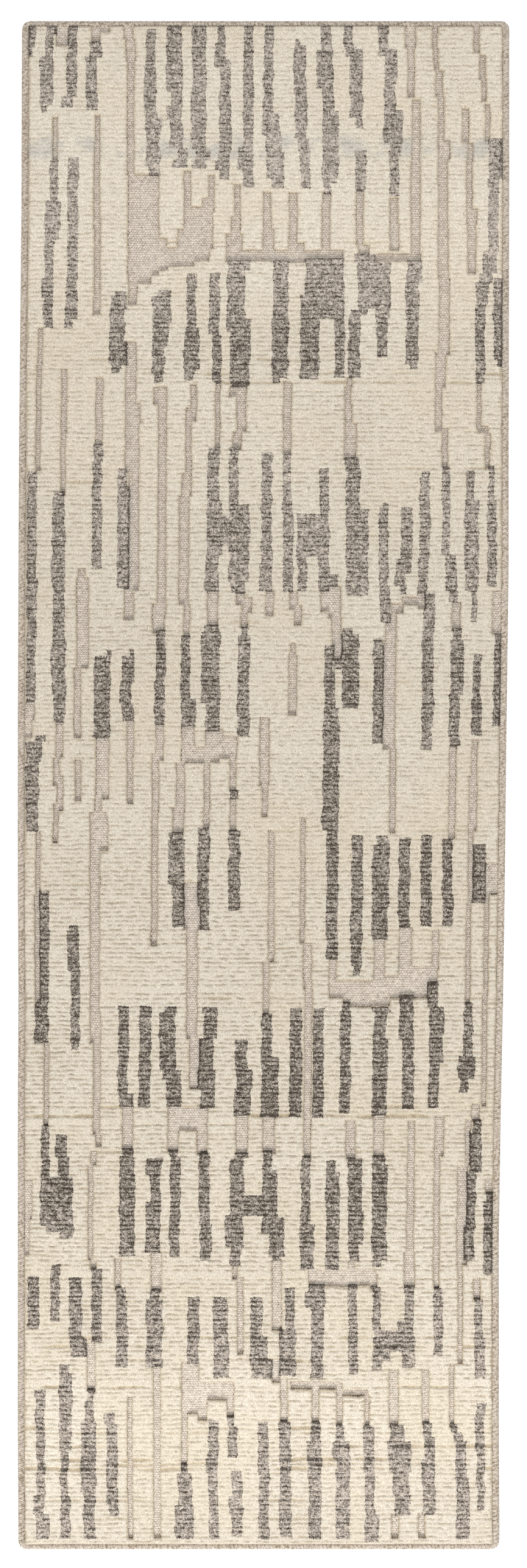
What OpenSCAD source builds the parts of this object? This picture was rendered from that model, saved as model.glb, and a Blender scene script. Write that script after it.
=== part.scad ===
// Runner rug in hand-knotted wool: a cut pile of ivory and grey bars, low flat-woven channels between
// them, a cotton foundation inside, and wool overcasting over a cord on all four edges.
// The rug lies flat with its length along Y, its pile up, and its back on Z = 0.
// The design is a weaver's chart: columns count from the left edge, rows count down from the top end.

/* [Rug] */
// Length over the overcasting
rug_l = 2500; // [1800:10:3200]
// Radius of the four corners
corner_r = 14; // [12:1:30]

/* [Edges] */
// Width of the overcasting on the long sides
side_binding = 11; // [9:0.5:16]
// Width of the overcasting on the two ends
end_binding = 9; // [7:0.5:14]
// Height of the overcasting
binding_h = 10; // [8:0.5:14]
// Width and height of the cord inside the overcasting
cord_d = 5; // [3:0.5:5]

/* [Pile and weave] */
// Height of the cut pile above the foundation
pile_h = 9; // [5:0.5:20]
// Height of the flat-woven channels above the foundation
flatweave_h = 2; // [1:0.5:4]
// Thickness of the knot backs underneath
back_t = 1; // [0.6:0.1:2]
// Diameter of a warp
warp_d = 1.2; // [0.8:0.1:2]
// Diameter of a weft
weft_d = 0.8; // [0.5:0.1:1.2]

/* [Hidden] */

// Size of the weaver's chart over the field
chart_cols = 134;
chart_rows = 336;

// Outer edge of the overcasting at a few chart rows: [row, left edge, right edge]. The loom let the
// width drift, and the right side draws in towards the bottom end.
edge_gauge = [
    [0, -395, 402],
    [40, -396, 402],
    [94, -400, 401],
    [121, -401, 401],
    [161, -402, 397],
    [188, -402, 395],
    [215, -401, 392],
    [242, -402, 388],
    [269, -402, 385],
    [310, -402, 385],
    [336, -401, 386]
];

// Chart rows where one woven band ends and the next begins
band_rows = [0, 38, 80, 132, 160, 213, 242, 276, 300, chart_rows];

// Grey bars, by the band in which they start. Each run is [first row, last row, first column, last column].
grey_runs = [
    [   // band 1
        [0, 5, 0, 2.3], [5, 7, 0, 1.2],
        [0, 2, 5, 8], [2, 7, 5, 7.3], [7, 18, 3.5, 7.2], [18, 19.5, 4, 5.7],
        [0, 7, 11.5, 14], [7, 16, 11, 14], [16, 18.5, 9.8, 12.7],
        [3.5, 7, 17.3, 20.7], [7, 15, 16.5, 19.4], [15, 19, 16.5, 19.8],
        [1, 9, 33.3, 36], [9, 20.5, 33, 36.2], [20.5, 23.5, 33, 37.8], [23.5, 31, 33.5, 37.5],
        [31, 33, 34.5, 37.2],
        [0, 4, 39.5, 43.6], [4, 15, 39, 43.5], [15, 18, 40.3, 43.5], [18, 21, 39, 43.5],
        [21, 27, 40.2, 43.7], [27, 31.5, 42, 45], [29.5, 31.5, 40.7, 42],
        [0, 15, 46.5, 50.2], [15, 27.5, 46.2, 50.3], [27.5, 30, 47.3, 51.7], [30, 31.8, 46.3, 50.5],
        [0, 4, 53.5, 55.5], [4, 9.5, 52.8, 55.5], [7.7, 16, 54, 57], [16, 30, 54, 57.2],
        [30, 32, 53, 57.2], [32, 34, 54.5, 57],
        [0, 9, 61, 63.5], [9, 27, 60.6, 63.7], [27, 32, 59.5, 63.7], [32, 36, 60.8, 63.5],
        [0, 10, 66.7, 69.2], [10, 19.5, 66.4, 69.5], [19.5, 24.5, 66.2, 71], [24.5, 28, 67, 71.5],
        [28, 34, 67.3, 72.3], [34, 36.3, 68.7, 72.3],
        [3, 4.5, 75.3, 76.5], [4.5, 15, 75.2, 78.2], [15, 25, 75.5, 78.6], [25, 28, 76.3, 79.5],
        [28, 36.3, 77, 79.7],
        [0, 5.5, 82.8, 85.5], [5.5, 14, 81.3, 86], [14, 19, 83, 86.3], [19, 34, 83, 87.6],
        [34, 35.3, 83.3, 87], [35.3, 37.2, 83.3, 85.3],
        [0, 5, 89, 91.8], [5, 7, 89.5, 92.3], [5.5, 20.5, 90.8, 94.2], [20.5, 23, 92.3, 94.3],
        [27.7, 31, 92.3, 95.7], [31, 36.5, 92.5, 95.3],
        [0, 7, 98.7, 101.5], [5.5, 12, 100.8, 104], [12, 19, 100.4, 103.8], [19, 26, 100.5, 105.6],
        [26, 29, 102, 105.3], [29, 37.7, 102, 104.8],
        [25, 34, 130, 134], [34, 50, 129.8, 132.7], [50, 55, 128.5, 132.5]
    ],
    [   // band 2
        [30, 39, 6.4, 8.8], [39, 44.5, 5, 9.2], [44.5, 47.5, 5.2, 9], [47.5, 56, 5, 7.5],
        [56, 60.5, 4, 7.2], [60.5, 67, 4.6, 7.2],
        [29.5, 59, 11.4, 14.2], [59, 65, 11, 14.2], [65, 67, 10.8, 13],
        [59, 60, 25, 28], [60, 63, 23.7, 28.3], [63, 70, 23.5, 27.5], [70, 75, 23.5, 28.2],
        [75, 77, 24, 26.5],
        [58.5, 60, 37, 40.5], [60, 66, 35.3, 40.7], [66, 71, 35.4, 40], [71, 77, 35.5, 39],
        [77, 79, 36, 38.5],
        [55, 67, 45, 47.6], [67, 72, 44.7, 48.5], [72, 76, 44.3, 48.8], [76, 78.7, 44.7, 47.5],
        [55, 68.5, 51.3, 54.3], [68.5, 79, 52.4, 55],
        [52, 54.5, 56.7, 63], [54.5, 65, 56.4, 61.5], [65, 68, 56.4, 63], [68, 79.7, 57.3, 63],
        [52, 65, 69.3, 73.8], [65, 78, 69, 73.6], [78, 79, 69.3, 71.5],
        [51.5, 59.5, 78.4, 89.3], [59.5, 65, 77, 89.3], [65, 78.3, 77, 82.2], [65, 78, 86.6, 89.6],
        [50.5, 52.5, 92, 98], [52.5, 62.7, 93, 102.3], [62.7, 64, 91, 96], [64, 78, 90.8, 94],
        [62.7, 65, 98.5, 102.2], [65, 73.5, 98.8, 101.8],
        [52, 57, 107, 111.5], [57, 75, 106.7, 110.2], [75, 76, 108, 110],
        [55, 57, 127.5, 131], [57, 59.5, 126.5, 130.3], [59.5, 66, 126.3, 129.5],
        [66, 79, 126.3, 128.9],
        [56, 74, 131.4, 134], [74, 75.5, 132.5, 134]
    ],
    [   // band 3
        [98.5, 122, 0.6, 3.3], [122, 130, 0.8, 3.6], [130, 149.5, 0.7, 3.3],
        [103, 104.5, 8, 11], [104.5, 125, 7.8, 11.4], [125, 136, 8, 11.2], [136, 148, 7.8, 11.6],
        [148, 154, 8.3, 11.8],
        [92.5, 96.5, 19.3, 22], [96.5, 120, 19.2, 21.8],
        [98, 102, 26.2, 28.5], [102, 124.5, 26, 29.5],
        [93.5, 95, 51.3, 55], [95, 105, 51, 54.6], [105, 117, 51, 55.3], [117, 125, 50.7, 54.5],
        [108.5, 115, 54, 60],
        [93.5, 106, 57.5, 60], [106, 123, 57.5, 63], [123, 125.5, 58, 62],
        [94.5, 119, 66.4, 69.3], [119, 125.3, 66, 69.2],
        [95, 105, 72.3, 74.8], [105, 125.3, 72.3, 75.4],
        [98, 108, 82.7, 85.2], [108, 117.5, 76.5, 85.3], [117.5, 125, 76.7, 79.4],
        [117.5, 125, 82.3, 85.3], [121.5, 124, 85, 88],
        [95.5, 107, 90, 94], [107, 126, 90, 96.4],
        [105.5, 106.5, 100.5, 102], [106.5, 124, 99.4, 102], [124, 132, 99.6, 102.6],
        [106.5, 118, 105.3, 108.6], [118, 121.5, 104, 108.2], [121.5, 124, 103.8, 106.6],
        [124, 126, 105.5, 107.3],
        [98.5, 100, 111.5, 113.5], [100, 118, 110.7, 113.8], [118, 125.5, 110.5, 113.3],
        [97.5, 117, 117, 119.4], [117, 125, 118, 121], [125, 127.5, 118.6, 121.3],
        [98.5, 105, 123.7, 126], [105, 125, 123.5, 127.2], [125, 132, 125.3, 127],
        [97.5, 105, 129.9, 131.8], [105, 124, 129.7, 132.4]
    ],
    [   // band 4
        [138, 139.5, 23, 24.4], [139.5, 157.5, 19.7, 24.4],
        [138, 139.5, 29.6, 31], [139.5, 145, 27.5, 31], [145, 150, 27.2, 30.3], [150, 154, 27.7, 31],
        [134, 145, 37, 39.7], [145, 154.7, 36.7, 39.8],
        [135, 149, 44, 46.8], [149, 155, 44.5, 48.3],
        [132.5, 134, 50.3, 54.5], [134, 150, 49.7, 55], [150, 156, 51, 55],
        [133, 135, 60.7, 62.5], [135, 157, 60.2, 63.3],
        [133.3, 134.5, 89.3, 92], [134.5, 142.3, 89, 94], [142.3, 151, 89.5, 94],
        [137, 142.3, 84.5, 87], [140, 142.3, 87, 89], [142.3, 151, 84.3, 87.2],
        [151, 178, 84, 88.8], [178, 206.4, 85.3, 88.7],
        [135.5, 137, 98, 100.5], [137, 158.7, 98, 101],
        [125.5, 129, 112.5, 115], [129, 155, 111.7, 114.9], [155, 160, 111.8, 114.6],
        [133.5, 136, 120.3, 122.7], [136, 148, 119.7, 123.2], [148, 159.2, 119.5, 122.3],
        [139, 149, 126, 128.5], [149, 157, 125.8, 128.6],
        [134.5, 138, 132, 134], [138, 155, 131.7, 134]
    ],
    [   // band 5
        [157, 158.5, 3.5, 6.3], [158.5, 163, 0.6, 5], [163, 171, 0.7, 4.5], [171, 178.3, 0.7, 4],
        [191.3, 193, 4.5, 7], [193, 216, 4.2, 7], [216, 225, 3.2, 7],
        [198.7, 200, 13, 15.7], [200, 209, 12.5, 15.6], [209, 225, 12.9, 15.6], [225, 226.5, 13.4, 15.5],
        [178.5, 180, 41, 45], [180, 190, 40.6, 45.4], [190, 199.5, 42, 45.3],
        [177.5, 195, 49, 52.2], [195, 200, 49.7, 52.2],
        [169, 171, 58, 60.3], [178, 195.8, 57.6, 60.9],
        [179, 203, 92.5, 95.8], [203, 208, 92.7, 95.6], [208, 210, 93.5, 95.2],
        [179, 181, 99.3, 102.5], [181, 195, 98.3, 103], [195, 202, 98.5, 102.7],
        [179.5, 199.5, 105.7, 109.1],
        [179, 199.3, 112, 115],
        [180, 199, 118, 121.1],
        [181, 194, 126.6, 130.4]
    ],
    [   // band 6
        [216.7, 236, 26.7, 29.8], [236, 239, 27, 31.3],
        [216.7, 239, 32.6, 36],
        [216.8, 218, 40, 43.2], [218, 231, 38.3, 43], [231, 233, 39.3, 44.7], [233, 239, 40.3, 44.6],
        [217, 218, 50.5, 54.8], [218, 224, 51, 54.5], [224, 231, 49.8, 53.8], [231, 235, 49.3, 54.3],
        [235, 239.3, 50, 54.2],
        [224.3, 231, 60, 63.2], [231, 235, 60.3, 64.8], [235, 241, 59.7, 64.4],
        [218.5, 228, 67.4, 70.4], [228, 241.2, 67.5, 72.3],
        [217.3, 241.3, 75.4, 79], [217.2, 241.5, 82, 85],
        [216, 218, 90.5, 92.3], [218, 240.5, 89.8, 92.6],
        [217, 218, 98.5, 103.5], [218, 224, 99, 102.7], [224, 241, 99.2, 103.2],
        [214.5, 224, 106.5, 110.2], [224, 239.5, 107.3, 110.6],
        [211.5, 217, 114.5, 117.5], [217, 229.5, 115, 119.1], [229.5, 239.3, 115.2, 118],
        [216, 228, 124.8, 127.4], [228, 233, 123.5, 128], [233, 236, 123.7, 126]
    ],
    [   // band 7
        [243, 255, 5.2, 7.2], [245, 250, 9.2, 12.2], [250, 255, 9.8, 13], [254.5, 265.5, 4.8, 14],
        [265.5, 266.7, 6.5, 14.2], [266.7, 268, 10.5, 14.2],
        [248.2, 250, 28, 31.2], [250, 272, 27.5, 31.7],
        [250.3, 254, 35, 39.3], [254, 260, 36, 39], [260, 271.3, 34.8, 39],
        [248.8, 250, 41.4, 44], [250, 272, 41.7, 44.7],
        [249, 265, 50.2, 52.9], [265, 273, 50.3, 53.7],
        [249.3, 250.5, 60, 64], [250.5, 263, 58.8, 62.7], [258.7, 263.3, 62.7, 68.5],
        [263, 270, 57.5, 62.8], [270, 274, 59, 62],
        [249, 253, 68, 70.8], [253, 263.5, 68, 72.4], [263.5, 267, 68, 74.3], [267, 272, 70, 74.4],
        [272, 273, 71, 73.5],
        [250, 265, 79, 81.7], [265, 275, 79, 83],
        [251, 253.5, 86, 88.6], [253.5, 275, 86, 89.9],
        [250.5, 262, 92.5, 96.2], [262, 269.5, 92.6, 96.9], [269.5, 273, 93, 95.7],
        [250, 252, 99.5, 103], [252, 273, 99.4, 103.7], [273, 274.5, 99.5, 102],
        [242, 245, 127.6, 130], [245, 253.5, 127, 130.2], [253.5, 266, 126.5, 129],
        [266, 273, 125.8, 128.7],
        [258, 260, 132, 134], [260, 276, 131.5, 134]
    ],
    [   // band 8
        [276.5, 288, 1, 4.3],
        [274, 286.5, 7.6, 10.4],
        [276.7, 290, 13.2, 16.6], [290, 294.3, 13.4, 18.1],
        [274.8, 291, 19.5, 22.5],
        [279, 282, 26.3, 29], [282, 296.5, 26.4, 29.7],
        [279.5, 281.5, 36.2, 39], [281.5, 296.6, 35.2, 39.6],
        [281, 296, 46.8, 50],
        [281, 291, 54.2, 58.2], [291, 299, 54.3, 58.6],
        [281, 290, 64.7, 68.3], [290, 295, 64.6, 69.8], [295, 299, 65, 71],
        [279, 289, 74.8, 77.4], [288, 298.5, 73, 77.6],
        [278.5, 280, 81.5, 86], [280, 283.5, 80.4, 85.9], [283.5, 299, 81.9, 85.8],
        [278.5, 298, 92.6, 95.3],
        [279, 288.5, 99.6, 102], [288.5, 290, 100.5, 111.4], [290, 293, 99.6, 111.5],
        [293, 295, 99.3, 104.3], [295, 297, 99.8, 102.3],
        [278.7, 286.5, 108.6, 111.3], [286.5, 288.5, 106.8, 111.4], [293, 296.7, 108, 111.7],
        [279, 294, 117.1, 119.6],
        [281.5, 290, 128.7, 131], [290, 299, 128.6, 131.5]
    ],
    [   // band 9
        [301.5, 303, 3, 6.2], [303, 315, 3.3, 6], [315, 325, 3.8, 6.1], [325, 329, 2.8, 5.7],
        [329, 334.5, 3.3, 7.2],
        [296, 298, 10, 13], [298, 315, 9.9, 13.5], [315, 325, 10.5, 12.8], [325, 334.5, 10.3, 13.2],
        [301.5, 304, 18, 20], [304, 308.5, 17.4, 20], [308.5, 324, 16.3, 20.5], [324, 334.5, 17, 20.4],
        [306.5, 309, 23, 26.3], [309, 327, 23.6, 27], [327, 329.5, 24.5, 27],
        [318, 320, 45, 47], [320, 327, 44.2, 48], [327, 334.5, 43, 48.2],
        [308.2, 317, 52.6, 55.8], [317, 320, 52.2, 55.3], [320, 334.5, 52.6, 55.5],
        [307.5, 309.5, 58, 60], [309.5, 316.5, 58.5, 61],
        [319.5, 325, 59.3, 62.2], [325, 329, 58.5, 62.5], [329, 334, 59, 62.2],
        [308.5, 334.5, 67, 70.1],
        [308.5, 334, 73.2, 76.4],
        [308.7, 313, 82, 84.6], [313, 334.5, 81, 85],
        [309.3, 313, 89.1, 91.8], [313, 317, 87.9, 93.3], [317, 334.5, 89, 93],
        [309.5, 320, 97, 99.9], [320, 329, 97.5, 100.1], [329, 335, 97.4, 101.2],
        [309.3, 313, 104.7, 108.6], [313, 320, 104, 110.6], [320, 325, 105.3, 110],
        [325, 329.5, 106, 110.4],
        [309, 312, 114, 116.5], [312, 317, 114.5, 117.3], [317, 329.3, 113.6, 117.3],
        [309.3, 311, 122, 124], [311, 313, 122.8, 125.5], [313, 321, 123.3, 126.5],
        [321, 334.5, 123.5, 127.2],
        [304.5, 315, 129.1, 131.6], [315, 323, 129.3, 131.5], [323, 328, 129.8, 131.8]
    ]
];

// Flat-woven channels and patches, by band, in the same form
flat_runs = [
    [   // band 1
        [0, 4.5, 8, 11.5],
        [0, 3.5, 18, 20.5], [0, 1.5, 20.5, 23],
        [20.5, 30, 7, 8.3],
        [20, 26, 19, 20.4], [26, 34, 18.7, 20.2], [34, 45, 18.8, 20.5], [45, 60, 19, 20.5],
        [60, 64, 18.7, 20.7],
        [0, 3, 27.2, 29.8], [3, 8, 27.8, 30.3], [8, 33, 28, 30.1],
        [32.7, 55, 28.3, 37], [47, 54, 36.5, 39.5], [49, 53.3, 39, 47], [48, 52.3, 46.5, 51.2],
        [55, 62, 28.6, 31], [55, 57, 31, 35],
        [32, 40, 44, 46], [40, 49.5, 44, 52.3], [45, 49.5, 42.5, 44.5],
        [33, 41, 51, 52.6], [38, 41, 49.5, 52],
        [35, 42, 58.5, 60], [42, 46, 57.3, 60], [46, 52.5, 56, 60.6],
        [37, 45, 66.3, 68.7], [45, 50, 66.3, 69.5],
        [37, 48, 73.8, 76], [48, 50, 73.8, 78],
        [37, 50, 83, 85.2],
        [36.5, 48.5, 92.7, 94.7], [48.5, 51, 93.5, 96.3],
        [38, 50, 102, 104.5],
        [0, 5, 106.5, 109.3], [5, 16, 107, 109], [16.5, 30, 108.5, 110.8], [30, 50.7, 108.2, 110.7],
        [0, 5, 114, 115.5], [5, 10, 114.3, 115.8], [10, 15.7, 115, 117], [15.7, 25.5, 115.7, 117.2],
        [25.5, 29.5, 115.7, 119], [29.5, 45, 115.7, 118.3], [45, 56, 115.8, 118.8],
        [18.5, 26, 122.5, 124.3], [26, 30, 124, 125.8], [30, 40.5, 123.8, 125.3],
        [40.5, 44, 123.8, 126.7], [44, 55, 124, 126.2],
        [0, 6, 125.8, 127.2], [6.5, 12, 127.5, 129], [12, 17, 128, 129.3], [17.5, 25.5, 129, 130.3]
    ],
    [   // band 2
        [49.7, 52.3, 58, 89], [50.5, 52.3, 98, 111],
        [67, 75, 3.3, 4.7], [75, 98.5, 3, 4.3],
        [76, 90, 10, 11.5], [90, 104, 10, 11.3],
        [78, 93, 19.7, 21.7],
        [70, 83.5, 28, 31], [83.5, 88, 28, 32.3], [88, 99, 28, 32],
        [80, 83.7, 36, 39.7], [83.7, 128, 37.4, 39.7],
        [79.5, 84.5, 46.5, 48], [84.5, 87.5, 45, 48], [87.5, 99, 45.2, 46.6],
        [79, 94, 53.3, 54.8],
        [79.7, 82, 57.5, 62], [82, 90, 59.3, 62], [90, 94, 58.5, 60.5],
        [78.8, 80, 72.3, 74.6], [80, 95.5, 72.5, 74.8],
        [78, 80, 90.3, 91.7], [80, 88, 89.7, 91.5], [88, 96, 89.7, 93],
        [56, 73, 116, 119], [72.5, 80, 115, 118], [80, 89.7, 115, 117], [89, 98, 117, 118.6],
        [78.5, 89.5, 126.8, 128], [88.5, 90, 127, 130], [90, 98, 129, 130.5]
    ],
    [   // band 3
        [99, 104, 44, 46.5], [104, 128, 43.5, 46],
        [98, 125, 29, 32], [124.5, 131.5, 28.2, 30.5],
        [128, 134.5, 36, 39.5], [128, 135, 44.8, 46.4],
        [120, 122, 15, 17], [122, 142, 14.8, 18], [142, 157.5, 14.2, 16],
        [124.5, 133, 51.3, 54.3],
        [125, 128, 59.5, 61.6], [126.5, 130, 61, 63.6], [130, 133.5, 60.6, 62.5],
        [125, 130.5, 67.7, 70],
        [125, 129, 74.4, 76.6], [128, 132.5, 75.6, 77.5],
        [125, 129.5, 83, 85.5], [124, 131, 85.5, 88.8], [131, 140.5, 86.4, 89],
        [125, 129, 110.3, 112.6], [126.5, 128.2, 106, 110.5], [128, 130, 103, 106.3],
        [130, 136, 101.5, 104.2], [136, 160, 101, 104.4],
        [127.5, 134, 120.2, 122.3],
        [125, 134.5, 131.5, 134]
    ],
    [   // band 4
        [149.5, 153.5, 0, 3], [153.5, 157.5, 0, 2.2],
        [154, 162, 9.2, 11], [162, 168, 8.4, 10],
        [157.5, 171, 20.4, 24],
        [154, 162, 29, 31], [162, 172, 29, 30.6],
        [154.7, 162.5, 37, 39.3], [161, 174, 36, 38],
        [155, 160, 44.5, 48], [159.5, 163, 44.5, 55], [155.5, 160, 51, 56], [157, 162, 55, 60],
        [162, 178, 58, 59.8],
        [163, 174, 43.2, 45.2], [162.5, 178, 50.6, 52.2],
        [136.5, 139, 74.7, 76], [139, 152.5, 74.5, 76.6],
        [153, 168, 66.3, 69],
        [158, 178, 126.2, 127.8], [166, 178, 125.4, 126.6]
    ],
    [   // band 5
        [162.5, 171.5, 14.3, 16],
        [166, 173.5, 9.3, 11], [172, 180.5, 8.3, 9.8],
        [178.3, 192, 3.5, 4.8], [192, 217, 2.9, 4.3],
        [171, 174, 20, 22], [174, 182.5, 18.8, 23.5], [182.5, 225, 18.8, 21.5], [225, 245, 19.8, 21.7],
        [245, 248, 20.5, 22],
        [174, 203.5, 36, 37.7],
        [173, 178.5, 42, 45],
        [189.5, 200, 45, 49.8], [200, 224, 46, 48.9], [224, 235, 47.2, 50],
        [168, 175, 67, 68.8], [178, 207, 69, 70.7], [207, 218.5, 67.7, 69.2],
        [175, 203, 78, 79.4], [203, 213, 79, 81.2], [213, 250, 79.6, 81.8],
        [160, 178.5, 103, 104.6],
        [159, 180, 119.8, 121.5],
        [178, 194, 125.3, 126.7], [194, 216, 125, 126.3], [185, 192, 130.4, 134], [192, 239, 130.2, 131.4]
    ],
    [   // band 6
        [206.4, 215, 86.4, 88.3], [211.3, 215, 88, 99.5], [202, 215, 99, 102], [210.2, 215, 101.5, 106.5],
        [199.5, 215, 106.1, 109.8], [208, 215, 109.5, 117.1], [200, 208.5, 115.3, 117.4],
        [215, 217, 90.5, 98.2], [215, 216.6, 98, 103.8],
        [225, 243, 5.7, 6.9],
        [239, 248.5, 28, 31],
        [239, 249, 41, 44], [239, 244.2, 43.5, 52.3], [238.5, 249.5, 49.3, 52.2],
        [241, 249.5, 60.5, 63.7],
        [241, 249.5, 68, 71.5],
        [241, 250.5, 99.8, 102.7]
    ],
    [   // band 7
        [248.8, 252, 19, 20.6], [252, 273, 18.5, 19.8], [273, 275, 19.2, 20.8],
        [255, 264, 0, 2.3], [264, 272, 0, 1.8],
        [271, 280, 36.5, 39.4], [272.5, 279.5, 26.2, 27.6],
        [242, 250.7, 91.6, 94.3], [273, 279, 92.8, 94.4],
        [242, 271, 109.4, 111.2], [271, 279, 108.6, 111.5],
        [241, 250, 117, 119.7], [250, 279.5, 117, 118.7],
        [238.5, 243, 127.5, 129.8], [242, 252, 125.6, 127.2], [252, 274, 123.8, 126.7],
        [255, 258.3, 131.8, 133.6],
        [272.7, 288.5, 71, 73.8],
        [272.5, 277, 59.6, 61], [276.5, 294, 61, 62.8]
    ],
    [   // band 8
        [275, 278.7, 81.3, 100.5], [276, 279.5, 99, 101],
        [274, 296, 124, 125.4], [277, 281.7, 128.5, 130.3],
        [291, 302, 18.2, 20.3],
        [296.5, 334.5, 36.9, 39.1],
        [295.5, 307, 45, 50], [300, 304, 49.5, 60], [303, 308.5, 49.8, 52.3], [303.5, 308, 58, 60],
        [295, 300, 71, 73.4]
    ],
    [   // band 9
        [307, 318.5, 45, 46.6],
        [303, 334.5, 29.7, 31.1],
        [299, 309, 73.3, 75.5],
        [299, 309, 82.3, 84.5], [299.7, 301.5, 76.5, 90],
        [300, 310, 89.3, 91], [301.5, 303, 91, 98.5], [302.5, 310, 97.3, 98.6],
        [297, 310, 104.4, 107], [329, 334.5, 105.2, 107],
        [297, 309.5, 113.6, 115.6], [329, 334.5, 112.8, 114.5],
        [296, 310, 121.8, 123.1]
    ]
];

row_pitch = (rug_l - 2 * end_binding) / chart_rows;
seam = 0.02; // slack between two yarns, in columns or rows of the chart
knot_gap = 0.1; // slack round the ivory ground
knot_w = 0.7; // narrowest strip of ground that holds a knot
layer_gap = 0.1; // slack between the layers of the foundation
lower_warp_z = back_t + layer_gap + warp_d / 2;
weft_z = lower_warp_z + warp_d / 2 + layer_gap + weft_d / 2;
upper_warp_z = weft_z + weft_d / 2 + layer_gap + warp_d / 2;
foundation_h = upper_warp_z + warp_d / 2 + layer_gap;
cord_inset = (side_binding - cord_d) / 2;
end_cord_inset = (end_binding - cord_d) / 2;
cord_z = (binding_h - cord_d) / 2;
arc_steps = 6; // straight steps round half of a corner

// Where the chart lies on the floor
function left_x(row) = lookup(row, [for (g = edge_gauge) [g[0], g[1]]]);
function right_x(row) = lookup(row, [for (g = edge_gauge) [g[0], g[2]]]);
function row_y(row) = rug_l / 2 - end_binding - row * row_pitch;
function field_w(row) = right_x(row) - left_x(row) - 2 * side_binding;
function knot(col, row) = [left_x(row) + side_binding + field_w(row) * col / chart_cols, row_y(row)];

// The rows from one to another, with every gauge row between them
function rows_between(a, b) = [a, for (g = edge_gauge) if (g[0] > a && g[0] < b) g[0], b];
function reversed(list) = [for (i = [len(list) - 1 : -1 : 0]) list[i]];
function arc(centre, from, to) =
    [for (i = [0 : arc_steps]) let (a = from + (to - from) * i / arc_steps)
        centre + corner_r * [cos(a), sin(a)]];

// Every run of one kind that lies partly between two rows, with the slack of a seam all round
function runs_within(all_runs, top, bottom) =
    [for (band = all_runs) for (run = band)
        if (run[0] < bottom + seam && run[1] > top - seam) run + seam * [-1, 1, -1, 1]];

// One run of the chart in plan
module chart_run(run) {
    rows = rows_between(run[0], run[1]);
    polygon(concat(
        [for (r = rows) knot(run[2], r)],
        [for (r = reversed(rows)) knot(run[3], r)]
    ));
}

module chart_runs(runs) {
    for (run = runs)
        chart_run(run);
}

// Distance of the corners' centres from the middle of the rug's length
corner_y = rug_l / 2 - corner_r;
top_left = [left_x(0) + corner_r, corner_y];
top_right = [right_x(0) - corner_r, corner_y];
bottom_left = [left_x(chart_rows) + corner_r, -corner_y];
bottom_right = [right_x(chart_rows) - corner_r, -corner_y];
inner_rows = [for (g = edge_gauge) if (g[0] > 0 && g[0] < chart_rows) g[0]];
all_rows = [for (g = edge_gauge) g[0]];

// A strip that follows one long side, between two distances in from the outer edge
module side_strip(side, near, far) {
    edge = [for (r = all_rows) [side < 0 ? left_x(r) : right_x(r), row_y(r)]];
    polygon(concat(
        [for (p = edge) p - [side * near, 0]],
        [for (p = reversed(edge)) p - [side * far, 0]]
    ));
}

// A strip along one end, between two distances in from the outer edge
module end_strip(end, near, far) {
    row = end > 0 ? 0 : chart_rows;
    a = knot(0, row)[0];
    b = knot(chart_cols, row)[0];
    y = end * rug_l / 2;
    polygon([[a, y - end * near], [b, y - end * near], [b, y - end * far], [a, y - end * far]]);
}

// Cut pile: wool knots packed so closely that a bar or a piece of ground is one solid. The ground keeps
// clear of the bars and channels, and has no strip too narrow for a knot.
module ivory_pile(band) {
    top = band_rows[band - 1];
    bottom = band_rows[band];
    color("#e1d7c3")
        translate([0, 0, foundation_h])
            linear_extrude(pile_h)
                offset(delta = knot_w / 2)
                    offset(delta = -knot_w / 2 - knot_gap)
                        difference() {
                            chart_run([top, bottom, 0, chart_cols]);
                            chart_runs(runs_within(grey_runs, top, bottom));
                            chart_runs(runs_within(flat_runs, top, bottom));
                        }
}

module grey_pile(band) {
    color("#8f857a")
        translate([0, 0, foundation_h])
            linear_extrude(pile_h)
                chart_runs(grey_runs[band - 1]);
}

// Plaited flat weave: low taupe wool, only where there is no grey pile
module flatweave(band) {
    runs = flat_runs[band - 1];
    top = min([for (run = runs) run[0]]);
    bottom = max([for (run = runs) run[1]]);
    color("#c4b8a5")
        translate([0, 0, foundation_h])
            linear_extrude(flatweave_h)
                difference() {
                    chart_runs(runs);
                    chart_runs(runs_within(grey_runs, top, bottom));
                }
}

// Cotton warps, one pair to a chart column, from end to end of the field
module warps(z) {
    color("#e8e2d2")
        for (col = [0.8 : (chart_cols - 1.6) / (chart_cols - 1) : chart_cols - 0.7]) {
            foot = knot(col, chart_rows);
            lean = atan((knot(col, 0)[0] - foot[0]) / (row_y(0) - row_y(chart_rows)));
            translate([foot[0], foot[1], z])
                rotate([-90, 0, -lean])
                    cylinder(h = (row_y(0) - row_y(chart_rows)) / cos(lean) - warp_d, d = warp_d, $fn = 16);
        }
}

module upper_warps() {
    warps(upper_warp_z);
}

module lower_warps() {
    warps(lower_warp_z);
}

// Cotton wefts, one pick to a chart row, from side to side of the field
module weft_picks() {
    color("#ddd5c2")
        for (row = [0.5 : chart_rows - 0.5]) {
            start = knot(0.2, row);
            translate([start[0], start[1], weft_z])
                rotate([0, 90, 0])
                    cylinder(h = knot(chart_cols - 0.2, row)[0] - start[0], d = weft_d, $fn = 16);
        }
}

// The backs of the knots, packed into an even underside
module woven_back() {
    color("#bfb5a4")
        linear_extrude(back_t)
            chart_run([0, chart_rows, 0, chart_cols]);
}

// Edge cords, hidden inside the overcasting
module side_cord(side) {
    color("#d8cfbd")
        translate([0, 0, cord_z])
            linear_extrude(cord_d)
                side_strip(side, cord_inset, cord_inset + cord_d);
}

module end_cord(end) {
    color("#d8cfbd")
        translate([0, 0, cord_z])
            linear_extrude(cord_d)
                end_strip(end, end_cord_inset, end_cord_inset + cord_d);
}

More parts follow.
